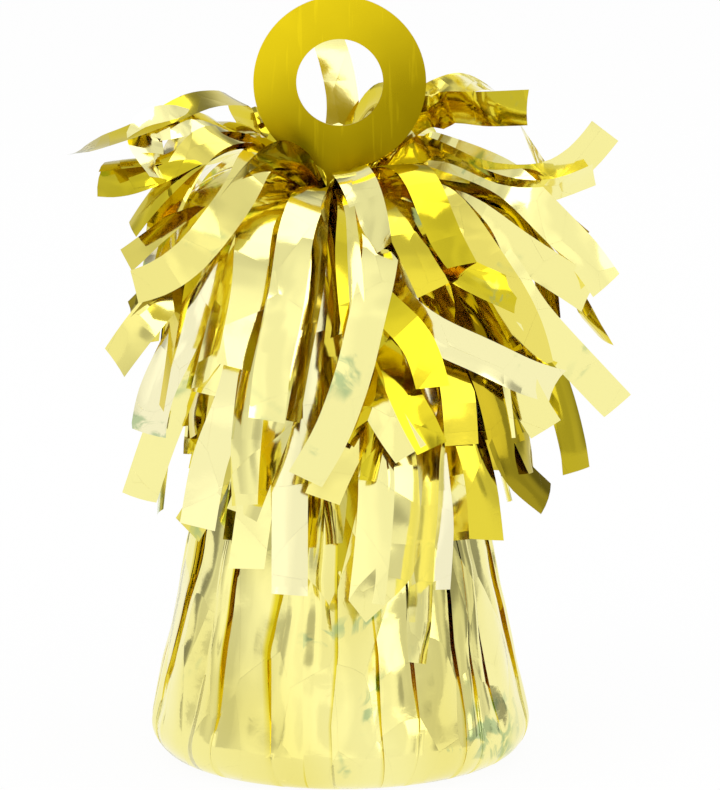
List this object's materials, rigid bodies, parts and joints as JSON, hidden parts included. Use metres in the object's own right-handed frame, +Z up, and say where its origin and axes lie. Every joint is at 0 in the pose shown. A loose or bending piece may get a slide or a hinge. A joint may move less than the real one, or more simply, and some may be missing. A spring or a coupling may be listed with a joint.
{
  "type": "foil balloon weight",
  "caption": "Free-standing cone weight wrapped in pleated gold film, with a film fringe and a flat ring tag that balloon ribbons tie through.",
  "frame": {"origin": "middle of the flat base, on the surface that the weight stands on", "axes": "+Z up through the neck and the ring tag; -Y is the side that the flat of the ring faces; +X to the right of that side"},
  "size_m": [0.104, 0.1077, 0.1446],
  "materials": {
    "shell_plastic": "thin moulded white plastic",
    "plaster": "set plaster, dry and chalky",
    "plug_plastic": "moulded white plastic",
    "gold_film": "thin metallised film, mirror bright pale gold, creased",
    "gold_tag": "flat die-cut board with a satin deep gold metallised face",
    "tie_plastic": "gold plastic coating of a twist tie",
    "tie_wire": "soft steel wire"
  },
  "bodies": {
    "weight": {"weight_shell": "shell_plastic", "plaster_fill": "plaster", "filler_plug": "plug_plastic", "foil_wrapper": "gold_film", "tie_strip": "tie_plastic", "tie_wire": "tie_wire", "fringe_crown": "gold_film", "fringe_upper": "gold_film", "fringe_middle": "gold_film", "fringe_lower": "gold_film", "fringe_skirt": "gold_film"},
    "tag": {"ring_tag": "gold_tag"}
  },
  "joints": [
    {"name": "tag_lean", "type": "hinge", "parent": "weight", "child": "tag", "pos_m": [0, 0, 0.10125], "axis": [1, 0, 0], "range_deg": [-15, 15], "stiffness_Nm_per_rad": 0.01}
  ]
}
